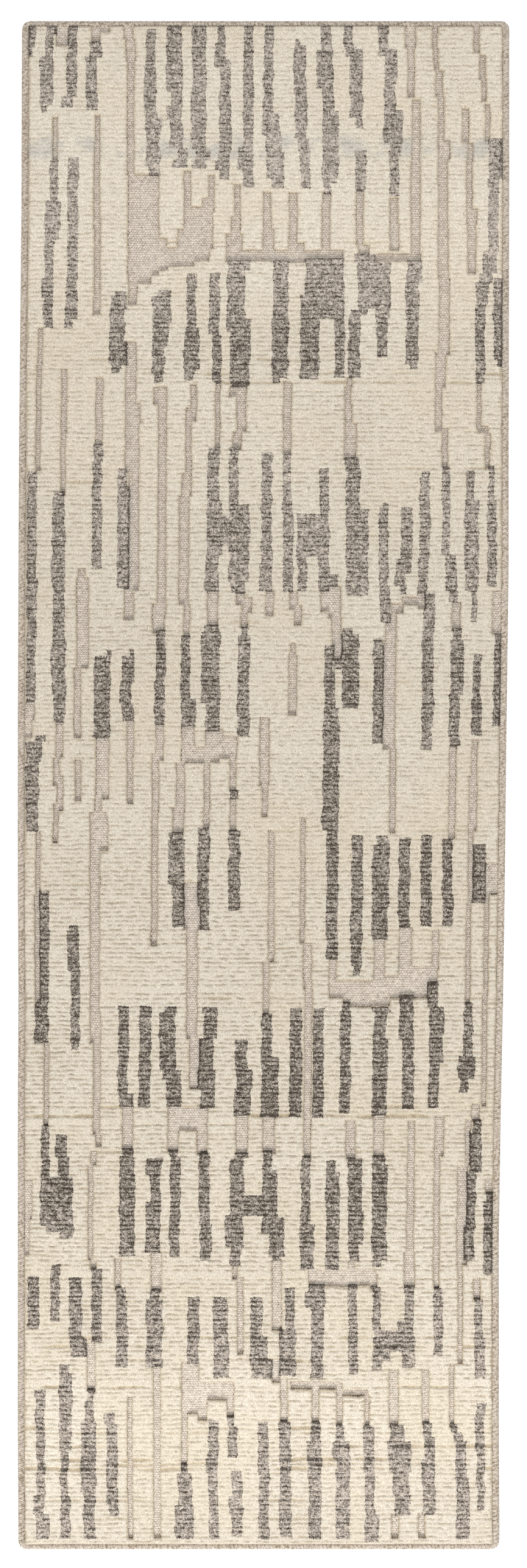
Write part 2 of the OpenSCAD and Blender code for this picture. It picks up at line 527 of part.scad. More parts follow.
// Wool overcasting: one wrapped roll to a side, with a mitre at the middle of each corner
module overcast_side(side) {
    start = side < 0 ? arc(top_left, 135, 180) : arc(top_right, 45, 0);
    finish = side < 0 ? arc(bottom_left, 180, 225) : arc(bottom_right, 0, -45);
    col = side < 0 ? 0 : chart_cols;
    color("#a89d8e")
        difference() {
            linear_extrude(binding_h)
                polygon(concat(
                    start,
                    [for (r = inner_rows) [side < 0 ? left_x(r) : right_x(r), row_y(r)]],
                    finish,
                    [for (r = reversed(all_rows)) knot(col, r)]
                ));
            translate([0, 0, cord_z])
                linear_extrude(cord_d)
                    side_strip(side, cord_inset, cord_inset + cord_d);
        }
}

module overcast_end(end) {
    left_arc = end > 0 ? arc(top_left, 135, 90) : arc(bottom_left, 225, 270);
    right_arc = end > 0 ? arc(top_right, 90, 45) : arc(bottom_right, 270, 315);
    row = end > 0 ? 0 : chart_rows;
    color("#a89d8e")
        difference() {
            linear_extrude(binding_h)
                polygon(concat(left_arc, right_arc, [knot(chart_cols, row), knot(0, row)]));
            translate([0, 0, cord_z])
                linear_extrude(cord_d)
                    end_strip(end, end_cord_inset, end_cord_inset + cord_d);
        }
}

ivory_pile(1);  // ivory_pile_1
ivory_pile(2);  // ivory_pile_2
ivory_pile(3);  // ivory_pile_3
ivory_pile(4);  // ivory_pile_4
ivory_pile(5);  // ivory_pile_5
ivory_pile(6);  // ivory_pile_6
ivory_pile(7);  // ivory_pile_7
ivory_pile(8);  // ivory_pile_8
ivory_pile(9);  // ivory_pile_9
grey_pile(1);  // grey_pile_1
grey_pile(2);  // grey_pile_2
grey_pile(3);  // grey_pile_3
grey_pile(4);  // grey_pile_4
grey_pile(5);  // grey_pile_5
grey_pile(6);  // grey_pile_6
grey_pile(7);  // grey_pile_7
grey_pile(8);  // grey_pile_8
grey_pile(9);  // grey_pile_9
flatweave(1);  // flatweave_1
flatweave(2);  // flatweave_2
flatweave(3);  // flatweave_3
flatweave(4);  // flatweave_4
flatweave(5);  // flatweave_5
flatweave(6);  // flatweave_6
flatweave(7);  // flatweave_7
flatweave(8);  // flatweave_8
flatweave(9);  // flatweave_9
upper_warps();
weft_picks();
lower_warps();
woven_back();
side_cord(-1);  // side_cord_left
side_cord(1);  // side_cord_right
end_cord(1);  // end_cord_top
end_cord(-1);  // end_cord_bottom
overcast_side(-1);  // overcast_left
overcast_side(1);  // overcast_right
overcast_end(1);  // overcast_top
overcast_end(-1);  // overcast_bottom
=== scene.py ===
import math

import bpy
import numpy as np
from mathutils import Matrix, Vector, noise
from mathutils.bvhtree import BVHTree
from mathutils.geometry import delaunay_2d_cdt


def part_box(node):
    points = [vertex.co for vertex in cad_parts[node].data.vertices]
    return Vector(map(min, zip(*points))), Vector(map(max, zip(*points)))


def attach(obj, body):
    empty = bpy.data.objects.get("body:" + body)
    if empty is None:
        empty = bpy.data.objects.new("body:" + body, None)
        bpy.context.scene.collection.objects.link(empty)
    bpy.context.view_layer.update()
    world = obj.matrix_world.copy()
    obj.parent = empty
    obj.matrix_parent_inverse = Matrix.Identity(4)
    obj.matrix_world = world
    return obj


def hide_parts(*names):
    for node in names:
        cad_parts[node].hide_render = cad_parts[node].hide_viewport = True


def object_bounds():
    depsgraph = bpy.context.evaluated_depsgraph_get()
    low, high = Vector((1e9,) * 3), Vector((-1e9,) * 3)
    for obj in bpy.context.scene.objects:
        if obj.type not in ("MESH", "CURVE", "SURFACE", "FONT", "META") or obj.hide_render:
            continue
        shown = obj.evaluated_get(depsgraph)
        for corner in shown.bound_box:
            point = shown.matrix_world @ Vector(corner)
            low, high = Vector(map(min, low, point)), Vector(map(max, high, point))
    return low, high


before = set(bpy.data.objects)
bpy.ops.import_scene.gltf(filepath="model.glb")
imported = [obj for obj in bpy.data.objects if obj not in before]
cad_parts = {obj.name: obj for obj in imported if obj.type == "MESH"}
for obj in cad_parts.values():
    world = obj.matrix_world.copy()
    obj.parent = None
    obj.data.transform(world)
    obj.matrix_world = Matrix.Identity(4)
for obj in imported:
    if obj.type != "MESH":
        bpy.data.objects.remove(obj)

cad_low, cad_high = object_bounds()


# ---------------------------------------------------------------------------------------------------
# Camera, floor and light
# The rug lies on a plain white floor and is seen from straight above. One broad soft light stands past
# the bottom end of the rug, so every edge of the pile that faces it is bright. A weak light overhead and
# a pale room fill in the shadows.
# ---------------------------------------------------------------------------------------------------
camera_height = 3.0
seen_length = 2.569                 # how much floor the long side of the view takes in
aim = Vector((0.0, 0.002, 0.0))
floor_width = 300.0                 # wide enough for a straight horizon from every side
floor_drop = 0.0005                 # keeps the floor clear of the rug's underside

camera_data = bpy.data.cameras.new("camera")
camera_data.sensor_width = 36.0
camera_data.lens = camera_data.sensor_width * camera_height / seen_length
camera = bpy.data.objects.new("camera", camera_data)
camera.location = aim + Vector((0.0, 0.0, camera_height))
bpy.context.scene.collection.objects.link(camera)
bpy.context.scene.camera = camera

bpy.context.scene.view_settings.view_transform = "Standard"

bpy.ops.object.select_all(action="DESELECT")
bpy.ops.mesh.primitive_plane_add(size=floor_width, location=(0.0, 0.0, -floor_drop))
floor = bpy.context.object
floor.name = "floor"
floor_paint = bpy.data.materials.new("floor_paint")
floor_paint.use_nodes = True
floor_shader = floor_paint.node_tree.nodes["Principled BSDF"]
floor_shader.inputs["Base Color"].default_value = (0.93, 0.93, 0.93, 1.0)
floor_shader.inputs["Roughness"].default_value = 0.9
floor_shader.inputs["Emission Color"].default_value = (1.0, 1.0, 1.0, 1.0)
floor_shader.inputs["Emission Strength"].default_value = 0.22
floor.data.materials.append(floor_paint)

room = bpy.data.worlds.new("room")
room.use_nodes = True
room.node_tree.nodes["Background"].inputs["Color"].default_value = (1.0, 0.99, 0.975, 1.0)
room.node_tree.nodes["Background"].inputs["Strength"].default_value = 0.76
bpy.context.scene.world = room


def soft_light(name, place, target, width, power, colour):
    """A broad lamp at a place, turned to a target on the rug."""
    lamp = bpy.data.lights.new(name, "AREA")
    lamp.shape = "RECTANGLE"
    lamp.size = width
    lamp.size_y = width * 0.6
    lamp.energy = power
    lamp.color = colour
    holder = bpy.data.objects.new(name, lamp)
    holder.location = place
    holder.rotation_euler = (Vector(target) - Vector(place)).to_track_quat("-Z", "Y").to_euler()
    bpy.context.scene.collection.objects.link(holder)


soft_light("key_light", (-0.6, -4.6, 3.4), (0.0, -0.2, 0.0), 2.2, 218.0, (1.0, 0.985, 0.96))
soft_light("top_light", (0.9, 0.6, 3.6), (0.0, 0.2, 0.0), 2.4, 34.0, (0.97, 0.985, 1.0))


# ---------------------------------------------------------------------------------------------------
# Cut pile
# Wool yarns are tied round pairs of warps, beaten down row on row and sheared level, so that their ends
# felt into one soft surface. Each row of knots is a low wavering rib, and each pair of yarn ends a small
# swelling on it. The colour of the pile changes from knot to knot, and the channels are cut down into it.
# ---------------------------------------------------------------------------------------------------
rows_of_knots = 336
chart_columns = 134
lines_to_a_row = 4                  # lines of the pile's mesh in one row of knots
lines_to_a_column = 3               # and in one column of the chart
mm = 0.001
pile_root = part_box("ivory_pile_1")[0].z
pile_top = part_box("ivory_pile_1")[1].z
edge_fall = 2.0                     # how far the yarn ends slump beside a channel, in millimetres
near_edge_fall = 0.6                # and one line further in
outer_falls = [3.4, 1.6, 0.6, 0.0]  # the same at the outer edge of the field, line by line
parted_fall = 2.0                   # where the pile is parted
deepest_fall = 6.0                  # no yarn end lies lower than this
chance = np.random.default_rng(41)

# The outline of the field, read from the woven back: its two edges at every bend
back_points = np.array([v.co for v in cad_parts["woven_back"].data.vertices])
back_ys = np.unique(np.round(back_points[:, 1], 6))
back_left = np.array([back_points[abs(back_points[:, 1] - y) < 1e-5, 0].min() for y in back_ys])
back_right = np.array([back_points[abs(back_points[:, 1] - y) < 1e-5, 0].max() for y in back_ys])
row_pitch = (back_ys[-1] - back_ys[0]) / rows_of_knots

# What stands at any place of the field: the node of pile or flat weave that a plumb line meets first
surface_nodes = [n for n in sorted(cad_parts) if n.startswith(("ivory", "grey", "flatweave"))]
plan_points, plan_faces, plan_owner = [], [], []
for number, name in enumerate(surface_nodes):
    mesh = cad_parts[name].data
    first = len(plan_points)
    plan_points += [v.co.copy() for v in mesh.vertices]
    plan_faces += [[first + i for i in face.vertices] for face in mesh.polygons]
    plan_owner += [number] * len(mesh.polygons)
plan = BVHTree.FromPolygons(plan_points, plan_faces)


def node_at(x, y):
    """The number of the node that stands at a place, or -1 in the slack between two of them."""
    for step in (0.0, 0.5 * mm, -0.5 * mm):
        hit = plan.ray_cast(Vector((x + step, y + step, 0.1)), Vector((0.0, 0.0, -1.0)))
        if hit[2] is not None:
            return plan_owner[hit[2]]
    return -1


def field_edges(y):
    """The left and the right edge of the field at a place along the rug."""
    return np.interp(y, back_ys, back_left), np.interp(y, back_ys, back_right)


def soft_random(x, y, seed):
    """A smooth random number from -1 to 1 at every place of two grids."""
    found = [noise.noise(Vector((a, b, seed))) for a, b in zip(x.ravel(), y.ravel())]
    return np.array(found).reshape(x.shape)


# The lines of the mesh follow the rows of knots and the columns of the chart
lines = rows_of_knots * lines_to_a_row
columns = chart_columns * lines_to_a_column
line_row = np.arange(lines + 1) / lines_to_a_row
line_y = back_ys[-1] - line_row * row_pitch
edge_left, edge_right = field_edges(line_y)
pile_x = edge_left[:, None] + (edge_right - edge_left)[:, None] * np.linspace(0.0, 1.0, columns + 1)
pile_y = np.repeat(line_y[:, None], columns + 1, axis=1)
middle_x = (pile_x[:-1, :-1] + pile_x[1:, 1:]) / 2
middle_y = (pile_y[:-1, :-1] + pile_y[1:, 1:]) / 2
owner = np.array([node_at(x, y) for x, y in zip(middle_x.ravel(), middle_y.ravel())])
owner = np.where(owner < 0, np.roll(owner, 1), owner).reshape(lines, columns)
is_pile = np.array([not name.startswith("flatweave") for name in surface_nodes])[owner]
is_grey = np.array([name.startswith("grey") for name in surface_nodes])[owner]


def cells_around(cells, beyond):
    """The four cells that meet at each crossing of the lines."""
    wide = np.pad(cells, 1, constant_values=beyond)
    return np.stack([wide[:-1, :-1], wide[:-1, 1:], wide[1:, :-1], wide[1:, 1:]])


# Crossings where two colours meet, those on the edge of the pile, and those one line from it
meeting = cells_around(is_grey, False)
at_colour = meeting.any(axis=0) & ~meeting.all(axis=0)
at_edge = ~cells_around(is_pile, False).all(axis=0)
by_edge = at_edge.copy()
by_edge[1:] |= at_edge[:-1]
by_edge[:-1] |= at_edge[1:]
by_edge[:, 1:] |= at_edge[:, :-1]
by_edge[:, :-1] |= at_edge[:, 1:]

# The rows waver: each yarn end pulls the furrow between two rows its own way
row_x = pile_x[::lines_to_a_row]
row_number = np.repeat(np.arange(rows_of_knots + 1.0)[:, None], columns + 1, axis=1)
waver = soft_random(row_x * 75.0, row_number * 0.55, 3.1) * 1.5 * mm
waver += soft_random(row_x * 14.0, row_number * 0.09, 7.7) * 2.2 * mm
zigzag = np.where(np.arange(columns + 1) % 2, 1.0, -1.0)
waver += zigzag * chance.uniform(0.1, 0.95, row_x.shape) * mm
waver[[0, -1]] = 0.0
share = np.tile(np.arange(lines_to_a_row) / lines_to_a_row, rows_of_knots)[:, None]
upper = np.repeat(waver[:-1], lines_to_a_row, axis=0)
lower = np.repeat(waver[1:], lines_to_a_row, axis=0)
shift = np.vstack([upper * (1 - share) + lower * share, waver[-1:]])

# Furrows where the pile parts, as it does where a rug has been folded: the row, and how far it opens
parted_rows = {
    18: 0.2, 48: 0.25, 74: 0.5, 77: 0.6, 79: 0.7, 98: 0.3, 101: 0.45, 132: 0.5, 145: 0.25, 178: 0.35,
    204: 0.3, 215: 0.5, 239: 0.7, 241: 0.9, 249: 0.4, 266: 0.3, 290: 0.6, 292: 0.7, 295: 0.6, 301: 0.6,
    310: 0.7, 311: 0.5, 314: 0.8, 317: 0.8, 318: 0.6, 319: 0.8, 326: 0.4, 330: 0.3
}
crease = np.zeros(pile_x.shape)
for parted, opening in parted_rows.items():
    away = (line_row - parted)[:, None]
    along_row = pile_x[:1]
    comes_and_goes = soft_random(along_row * 15.0, 0.0 * along_row + parted, 4.4) * 2.6 - 0.1
    comes_and_goes = np.clip(comes_and_goes, 0.0, 1.0)
    shift -= np.sign(away) * opening * comes_and_goes * np.exp(-np.abs(away) / 1.3) * 1.3 * mm
    crease += opening * comes_and_goes * np.exp(-(away / 0.3) ** 2)

# How far each point of the surface lies below the shears, in millimetres: in the furrows between the
# rows, between two pairs of yarn ends, by chance, where the pile is parted and at its edges
furrow_rows = [0, 45, 62, 100, 118, 178, 196, 290, 304, 336]
furrow_depths = [1.0, 1.0, 1.3, 1.3, 1.2, 1.3, 1.7, 1.8, 1.65, 1.4]
in_row = np.arange(lines + 1) % lines_to_a_row
rib_section = np.array([1.0, 0.16, 0.0, 0.12])
rib = rib_section[in_row][:, None]
furrow = np.interp(line_row, furrow_rows, furrow_depths)[:, None]
broken = 0.72 + 1.5 * soft_random(pile_x * 95.0, pile_y * 95.0, 9.1)
broken += chance.uniform(-0.3, 0.3, pile_x.shape)
depth = rib * furrow * np.clip(broken, 0.05, 1.4)
joined = np.zeros(pile_x.shape, bool)
joined[1:-1, 1:] = (owner[1:] != owner[:-1]) & (is_grey[1:] == is_grey[:-1])
depth[joined] = 0.0
stagger = np.repeat(chance.integers(0, 2, rows_of_knots + 1), lines_to_a_row)[:lines + 1]
between_ends = (np.arange(columns + 1)[None, :] + stagger[:, None]) % 2
depth += between_ends * chance.uniform(0.0, 0.75, pile_x.shape)
depth += chance.uniform(0.0, 0.4, pile_x.shape)
depth += 0.25 + 0.4 * soft_random(pile_x * 9.0, pile_y * 9.0, 1.3)
depth += crease * parted_fall
depth += np.where(at_edge, edge_fall, np.where(by_edge, near_edge_fall, 0.0))
from_end = np.minimum(np.arange(lines + 1), np.arange(lines + 1)[::-1])[:, None]
from_side = np.minimum(np.arange(columns + 1), np.arange(columns + 1)[::-1])[None, :]
depth += np.interp(np.minimum(from_end, from_side), range(len(outer_falls)), outer_falls)
depth = np.clip(depth, 0.0, deepest_fall)

# Where two bands meet in one colour the surface runs level over the joint
met_rows, met_columns = np.nonzero(joined & ~at_edge)
level = (depth[met_rows - 1, met_columns] + depth[met_rows + 1, met_columns]) / 2
for step in (-1, 0, 1):
    depth[met_rows + step, met_columns] = level

# Yarn ends of two colours mingle where they meet and stray most there. The edges of the bars wander,
# least beside a channel, and the outer edges of the field are drawn in a little by the overcasting.
mingling = (at_colour & ~at_edge).astype(float)
mingling[:, 1:-1] = np.maximum(mingling[:, 1:-1], (mingling[:, 2:] + mingling[:, :-2]).clip(0, 1) * 0.45)
slack = np.where(mingling > 0.5, 0.95, 0.35) * mm
drift = soft_random(pile_x * 24.0, pile_y * 50.0, 5.2) * np.where(by_edge, 1.6, 3.2) * mm
inside = np.ones(pile_x.shape, bool)
inside[[0, -1]] = False
inside[:, [0, -1]] = False
pile_x = pile_x + np.where(inside, drift + chance.uniform(-1.0, 1.0, pile_x.shape) * slack, 0.0)
pile_y = pile_y + np.where(inside, shift + chance.uniform(-0.25, 0.25, pile_x.shape) * mm, 0.0)
side_drawn_in = 0.5 + 1.1 * soft_random(line_y * 55.0, line_y * 3.0, 2.2)
side_drawn_in = (side_drawn_in + chance.uniform(-0.4, 0.4, lines + 1)) * mm
pile_x[:, 0] += side_drawn_in
pile_x[:, -1] -= side_drawn_in[::-1]
end_drawn_in = (0.5 + 1.1 * soft_random(pile_x[0] * 55.0, pile_x[0] * 3.0, 6.2)) * mm
pile_y[0] -= end_drawn_in
pile_y[-1] += end_drawn_in[::-1]
yarn_luck = np.repeat(chance.uniform(0.0, 1.0, (lines + 1, columns // 2 + 1)), 2, axis=1)[:, :columns + 1]


def new_piece(name, points, loops, sizes, smooth, values):
    """One piece from its points, its faces' corners and a number of each kind at every point."""
    mesh = bpy.data.meshes.new(name)
    mesh.vertices.add(len(points))
    mesh.vertices.foreach_set("co", points.astype(np.float32).ravel())
    mesh.loops.add(len(loops))
    mesh.loops.foreach_set("vertex_index", loops.astype(np.int32))
    mesh.polygons.add(len(sizes))
    mesh.polygons.foreach_set("loop_start", (np.cumsum(sizes) - sizes).astype(np.int32))
    mesh.polygons.foreach_set("use_smooth", smooth)
    mesh.update(calc_edges=True)
    for key, numbers in values.items():
        attribute = mesh.attributes.new(key, "FLOAT", "POINT")
        attribute.data.foreach_set("value", numbers.astype(np.float32))
    obj = bpy.data.objects.new(name, mesh)
    bpy.context.scene.collection.objects.link(obj)
    return obj


def pile_piece(name, cells):
    """A closed piece of pile: the sheared surface of its cells, the yarns round its edge and its root."""
    row, column = np.nonzero(cells)
    width = columns + 1
    corner = row * width + column
    tops = np.stack([corner, corner + width, corner + width + 1, corner + 1], axis=1)
    beyond = np.pad(cells, 1)
    open_left = ~beyond[1:-1, :-2][row, column]
    open_low = ~beyond[2:, 1:-1][row, column]
    open_right = ~beyond[1:-1, 2:][row, column]
    open_high = ~beyond[:-2, 1:-1][row, column]
    edges = np.concatenate([
        tops[open_left][:, [0, 1]], tops[open_low][:, [1, 2]],
        tops[open_right][:, [2, 3]], tops[open_high][:, [3, 0]]
    ])
    pile_beyond = np.pad(is_pile, 1)
    meets_pile = np.concatenate([
        pile_beyond[1:-1, :-2][row, column][open_left], pile_beyond[2:, 1:-1][row, column][open_low],
        pile_beyond[1:-1, 2:][row, column][open_right], pile_beyond[:-2, 1:-1][row, column][open_high]
    ])

    # The root is cut into triangles between the rim's points: those under the cells stay, facing down
    rim = np.unique(edges)
    root_number = dict(zip(rim.tolist(), range(len(rim))))
    rooted = np.array([root_number[i] for i in edges.ravel().tolist()]).reshape(-1, 2)
    plan_of_rim = [Vector((i % width, i // width)) for i in rim.tolist()]
    bottom = delaunay_2d_cdt(plan_of_rim, rooted.tolist(), [], 0, 1e-4)[2]
    bottom = np.array([face for face in bottom if len(face) == 3])
    centre = np.stack([rim // width, rim % width], axis=1)[bottom].mean(axis=1).astype(int)
    bottom = bottom[cells[centre[:, 0], centre[:, 1]]]
    flat = np.stack([rim % width, -(rim // width)], axis=1)[bottom]
    turning = (flat[:, 1, 0] - flat[:, 0, 0]) * (flat[:, 2, 1] - flat[:, 0, 1])
    turning = turning - (flat[:, 1, 1] - flat[:, 0, 1]) * (flat[:, 2, 0] - flat[:, 0, 0])
    bottom[turning > 0] = bottom[turning > 0][:, ::-1]

    # The surface, the walls down from its rim, and the root, from one list of points
    used = np.unique(tops)
    local = np.searchsorted(used, tops)
    walls = np.concatenate([
        np.searchsorted(used, edges[:, ::-1]), len(used) + rooted
    ], axis=1)
    top_points = np.stack([pile_x, pile_y, pile_top - depth * mm], axis=-1).reshape(-1, 3)
    root_points = top_points[rim].copy()
    root_points[:, 2] = pile_root
    loops = np.concatenate([local.ravel(), walls.ravel(), (len(used) + bottom).ravel()])
    sizes = np.repeat([4, 4, 3], [len(local), len(walls), len(bottom)])
    smooth = np.repeat([True, False, False], [len(local), len(walls), len(bottom)])
    both = np.concatenate([used, rim])
    values = {
        "knot_chance": yarn_luck.ravel()[both], "crease": crease.ravel()[both],
        "chart_row": line_row[both // width], "mingling": mingling.ravel()[both],
        "depth": np.concatenate([depth.ravel()[used], np.full(len(rim), (pile_top - pile_root) / mm)])
    }
    piece = new_piece(name, np.concatenate([top_points[used], root_points]), loops, sizes, smooth, values)

    # Against other pile the sheared surface runs on, so its rim doesn't round off there
    pair_code = np.array([2 ** 20, 1])
    ends = np.empty(len(piece.data.edges) * 2, np.int32)
    piece.data.edges.foreach_get("vertices", ends)
    ends = np.sort(ends.reshape(-1, 2).astype(np.int64), axis=1) @ pair_code
    runs_on = np.sort(np.searchsorted(used, edges[meets_pile]), axis=1) @ pair_code
    sharp_edge = piece.data.attributes.new("sharp_edge", "BOOLEAN", "EDGE")
    sharp_edge.data.foreach_set("value", np.isin(ends, runs_on))
    return piece


pile_pieces = {
    name: pile_piece(name.replace("_pile_", "_yarn_ends_"), owner == number)
    for number, name in enumerate(surface_nodes) if not name.startswith("flatweave")
}


class Shade:
    """A value or a colour on its way through a material. Sums on it are Math nodes."""

    def __init__(self, tree, socket=None):
        self.tree = tree
        self.socket = socket

    def node(self, kind, settings=(), values=(), output=0):
        """Any other node: first its settings, then the values or links of its sockets."""
        made = self.tree.nodes.new(kind)
        for key, value in dict(settings).items():
            if key == "stops":
                while len(made.color_ramp.elements) < len(value):
                    made.color_ramp.elements.new(0.5)
                for element, (place, colour) in zip(made.color_ramp.elements, value):
                    element.position = place
                    element.color = (*colour, 1.0)
            else:
                setattr(made, key, value)
        for key, value in dict(values).items():
            if isinstance(value, Shade):
                self.tree.links.new(value.socket, made.inputs[key])
            else:
                made.inputs[key].default_value = value
        return Shade(self.tree, made.outputs[output])

    def sum(self, operation, *values):
        """A Math node on any values."""
        return self.node("ShaderNodeMath", {"operation": operation}, dict(enumerate(values)))

    def __add__(self, other):
        return self.sum("ADD", self, other)

    def __sub__(self, other):
        return self.sum("SUBTRACT", self, other)

    def __mul__(self, other):
        return self.sum("MULTIPLY", self, other)

    def __truediv__(self, other):
        return self.sum("DIVIDE", self, other)

    def __radd__(self, other):
        return self.sum("ADD", other, self)

    def __rsub__(self, other):
        return self.sum("SUBTRACT", other, self)

    def between(self, low, high):
        """0 below low, 1 above high, and smooth between."""
        return self.node(
            "ShaderNodeMapRange", {"interpolation_type": "SMOOTHSTEP"},
            {"Value": self, "From Min": low, "From Max": high}
        )

    def blend(self, first, second):
        """The first colour where this is 0, and the second where it is 1."""
        return self.node(
            "ShaderNodeMix", {"data_type": "RGBA"}, {0: self, 6: first, 7: second}, output=2
        )

    def dim(self, colour):
        """The colour made this many times as bright."""
        return self.node(
            "ShaderNodeVectorMath", {"operation": "SCALE"}, {0: colour, "Scale": self}
        )


def wool(name, roughness=0.92, sheen=0.0):
    """An empty wool material: its shader, and the value that the other nodes are made from."""
    material = bpy.data.materials.new(name)
    material.use_nodes = True
    shader = material.node_tree.nodes["Principled BSDF"]
    shader.inputs["Roughness"].default_value = roughness
    shader.inputs["Specular IOR Level"].default_value = 0.12
    shader.inputs["Sheen Weight"].default_value = sheen
    shader.inputs["Sheen Roughness"].default_value = 0.6
    return material, shader, Shade(material.node_tree)


def spots(shade, place, scale, detail=2.0, rough=0.55, stretch=None):
    """Soft random spots, about 1 / scale metres apart, between 0 and 1."""
    if stretch is not None:
        place = shade.node("ShaderNodeMapping", {}, {"Vector": place, "Scale": stretch})
    return shade.node(
        "ShaderNodeTexNoise", {}, {"Vector": place, "Scale": scale, "Detail": detail, "Roughness": rough}
    )


def finish_wool(shade, shader, colour, relief, height):
    """Puts the colour and the relief of the fibres on the shader."""
    bump = shade.node(
        "ShaderNodeBump", {}, {"Strength": 0.6, "Distance": height, "Height": relief}
    )
    shade.tree.links.new(colour.socket, shader.inputs["Base Color"])
    shade.tree.links.new(bump.socket, shader.inputs["Normal"])


# Undyed ivory wool: warm white ends with a few brown kemp hairs, a soiled band near the top end, some
# grey hairs beside the grey pile, and a brightness that changes from row to row. Painted shade makes the
# ends yellower and darker the deeper they lie below the shears, in the furrows, the parted rows and down
# the walls
soiled_row = 27.0
soiled_spread = 12.0
ivory_wool, shader, shade = wool("ivory_wool", sheen=0.12)
place = shade.node("ShaderNodeTexCoord", output=3)
luck = shade.node("ShaderNodeAttribute", {"attribute_name": "knot_chance"}, output=2)
row = shade.node("ShaderNodeAttribute", {"attribute_name": "chart_row"}, output=2)
below = shade.node("ShaderNodeAttribute", {"attribute_name": "depth"}, output=2)
mingled = shade.node("ShaderNodeAttribute", {"attribute_name": "mingling"}, output=2)
parted = shade.node("ShaderNodeAttribute", {"attribute_name": "crease"}, output=2)
fibre = spots(shade, place, 780.0, 2.0, 0.6, (1.0, 0.5, 1.0))
fleck = spots(shade, place, 330.0, 2.0, 0.6)
cloud = spots(shade, place, 5.0, 3.0, 0.6)
kemp = spots(shade, place, 210.0, 1.0, 0.5, (1.0, 0.4, 1.0)).between(0.735, 0.79)
# Painted shade: yellower and darker the deeper the surface lies below the shears, darkest down the walls
# to the root
body = below.between(0.4, 2.4).blend((0.865, 0.790, 0.672, 1.0), (0.640, 0.545, 0.410, 1.0))
body = below.between(3.0, 8.0).blend(body, (0.560, 0.470, 0.340, 1.0))
body = (cloud.between(0.42, 0.64) * 0.5).blend(body, (0.830, 0.730, 0.570, 1.0))
body = (kemp * 0.45).blend(body, (0.30, 0.21, 0.12, 1.0))
# Painted shade in the parted furrows: yellow-brown where the pile opens
body = (parted * 0.6).blend(body, (0.58, 0.46, 0.29, 1.0))
from_soiled = row - soiled_row
soot = (1.0 - from_soiled * from_soiled / soiled_spread).between(0.0, 1.0)
soot = soot * spots(shade, place, 24.0, 3.0).between(0.40, 0.62)
body = (soot * 0.42).blend(body, (0.44, 0.45, 0.46, 1.0))
stray = (mingled - 1.05 + (fibre - 0.5) * 2.2 + (fleck - 0.5) * 1.8).between(0.0, 0.3)
body = (stray * 0.8).blend(body, (0.30, 0.26, 0.21, 1.0))
# A brightness that changes from row to row
row_brightness = shade.node(
    "ShaderNodeMapRange", {}, {"Value": row, "From Min": 0.0, "From Max": float(rows_of_knots)}
)
row_brightness = row_brightness.node(
    "ShaderNodeValToRGB",
    {"stops": [(0.0, (1.0,) * 3), (0.15, (1.03,) * 3), (0.21, (0.94,) * 3), (0.28, (0.94,) * 3),
               (0.36, (0.885,) * 3), (0.67, (0.88,) * 3), (0.77, (0.905,) * 3), (0.86, (0.955,) * 3),
               (0.92, (1.03,) * 3), (1.0, (0.94,) * 3)]},
    {"Fac": row_brightness}
)
light = (0.72 + luck * 0.05 + (fibre - 0.5) * 0.65 + (fleck - 0.5) * 0.50) * row_brightness
finish_wool(shade, shader, light.dim(body), fibre + fleck * 1.2, 0.0011)

# Grey wool: dark brown and pale fibres carded together, so each yarn end is a speckle of both. Painted
# shade darkens the ends the deeper they lie below the shears, and down the walls of the pile
grey_wool, shader, shade = wool("grey_wool", sheen=0.08)
place = shade.node("ShaderNodeTexCoord", output=3)
luck = shade.node("ShaderNodeAttribute", {"attribute_name": "knot_chance"}, output=2)
row = shade.node("ShaderNodeAttribute", {"attribute_name": "chart_row"}, output=2)
below = shade.node("ShaderNodeAttribute", {"attribute_name": "depth"}, output=2)
mingled = shade.node("ShaderNodeAttribute", {"attribute_name": "mingling"}, output=2)
fibre = spots(shade, place, 640.0, 2.0, 0.6, (0.7, 1.0, 1.0))
fleck = spots(shade, place, 250.0, 2.0, 0.55)
patch = spots(shade, place, 90.0, 1.0)
row_brightness = shade.node(
    "ShaderNodeMapRange", {}, {"Value": row, "From Min": 0.0, "From Max": float(rows_of_knots)}
)
row_brightness = row_brightness.node(
    "ShaderNodeValToRGB",
    {"stops": [(0.0, (0.46,) * 3), (0.10, (0.53,) * 3), (0.15, (0.55,) * 3), (0.21, (0.39,) * 3),
               (0.30, (0.48,) * 3), (0.43, (0.37,) * 3), (0.60, (0.35,) * 3), (0.77, (0.33,) * 3),
               (0.86, (0.49,) * 3), (1.0, (0.49,) * 3)]},
    {"Fac": row_brightness}
)
pale = (fibre - 0.5) * 1.4 + (fleck - 0.5) * 0.95 + (patch - 0.5) * 0.35 + (luck - 0.5) * 0.3 + row_brightness + 0.03
# Painted shade: darker the deeper the ends lie below the shears
pale = pale - below.between(0.5, 2.0) * 0.34
body = pale.between(-0.05, 1.05).blend((0.050, 0.039, 0.029, 1.0), (0.640, 0.565, 0.490, 1.0))
stray = (mingled - 1.05 + (fibre - 0.5) * 2.2 + (fleck - 0.5) * 1.8).between(0.0, 0.3)
body = (stray * 0.75).blend(body, (0.68, 0.61, 0.50, 1.0))
# Painted shade down the walls of the pile to the root
body = below.between(3.0, 8.0).blend(body, (0.045, 0.034, 0.025, 1.0))
finish_wool(shade, shader, body, fibre + fleck, 0.0010)

for name, piece in pile_pieces.items():
    ivory = name.startswith("ivory")
    piece.data.materials.append(ivory_wool if ivory else grey_wool)
    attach(piece, "root")
    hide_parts(name)


